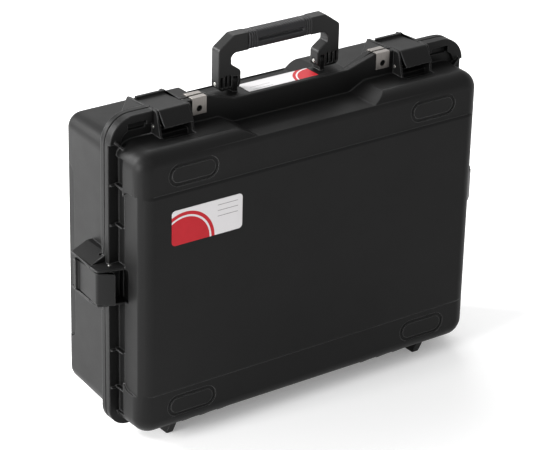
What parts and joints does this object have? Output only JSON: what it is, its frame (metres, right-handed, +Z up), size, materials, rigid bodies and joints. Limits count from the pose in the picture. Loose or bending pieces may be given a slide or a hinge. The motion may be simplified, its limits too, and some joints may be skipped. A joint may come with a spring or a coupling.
{
  "type": "tool case",
  "caption": "Moulded carrying case standing on its hinge edge, with a hinged lid, lever latches, a folding handle and steel padlock plates.",
  "frame": {"origin": "middle of the outer box, on the floor the case stands on", "axes": "+X along the hinge, +Y from the lid to the back of the base, +Z up with the case standing on its hinge edge"},
  "size_m": [0.554, 0.1792, 0.4665],
  "materials": {
    "shell": "finely textured moulding",
    "latch": "finely textured moulding",
    "handle": "finely textured moulding",
    "rubber": "matt",
    "steel": "brushed",
    "label": "satin film",
    "valve": "smooth"
  },
  "bodies": {
    "base": {"base_shell": "shell", "rim_seal": "rubber", "hinge_pins": "steel", "catch_pins": "steel", "padlock_plate_base_left": "steel", "padlock_plate_base_right": "steel", "handle_pins": "steel", "strip_label": "label", "valve_body": "valve", "valve_cap": "valve", "valve_nut": "valve"},
    "lid": {"lid_shell": "shell", "latch_pins": "steel", "padlock_plate_lid_left": "steel", "padlock_plate_lid_right": "steel", "front_label": "label"},
    "handle": {"handle_frame": "handle", "handle_grip": "rubber"},
    "latch_top_left": {"latch_cover_top_left": "latch", "latch_hook_top_left": "latch"},
    "latch_top_right": {"latch_cover_top_right": "latch", "latch_hook_top_right": "latch"},
    "latch_side_left": {"latch_cover_side_left": "latch", "latch_hook_side_left": "latch"},
    "latch_side_right": {"latch_cover_side_right": "latch", "latch_hook_side_right": "latch"}
  },
  "joints": [
    {"name": "lid_hinge", "type": "hinge", "parent": "base", "child": "lid", "pos_m": [0, -0.02665, 0.01], "axis": [1, 0, 0], "range_deg": [0, 100]},
    {"name": "handle_hinge", "type": "hinge", "parent": "base", "child": "handle", "pos_m": [0, 0.00055, 0.407], "axis": [-1, 0, 0], "range_deg": [0, 90]},
    {"name": "latch_top_left_hinge", "type": "hinge", "parent": "lid", "child": "latch_top_left", "pos_m": [-0.173, -0.03665, 0.392], "axis": [1, 0, 0], "range_deg": [0, 60]},
    {"name": "latch_top_right_hinge", "type": "hinge", "parent": "lid", "child": "latch_top_right", "pos_m": [0.173, -0.03665, 0.392], "axis": [1, 0, 0], "range_deg": [0, 60]},
    {"name": "latch_side_left_hinge", "type": "hinge", "parent": "lid", "child": "latch_side_left", "pos_m": [-0.2555, -0.03665, 0.209], "axis": [0, 0, 1], "range_deg": [0, 60]},
    {"name": "latch_side_right_hinge", "type": "hinge", "parent": "lid", "child": "latch_side_right", "pos_m": [0.2555, -0.03665, 0.209], "axis": [0, 0, -1], "range_deg": [0, 60]}
  ]
}
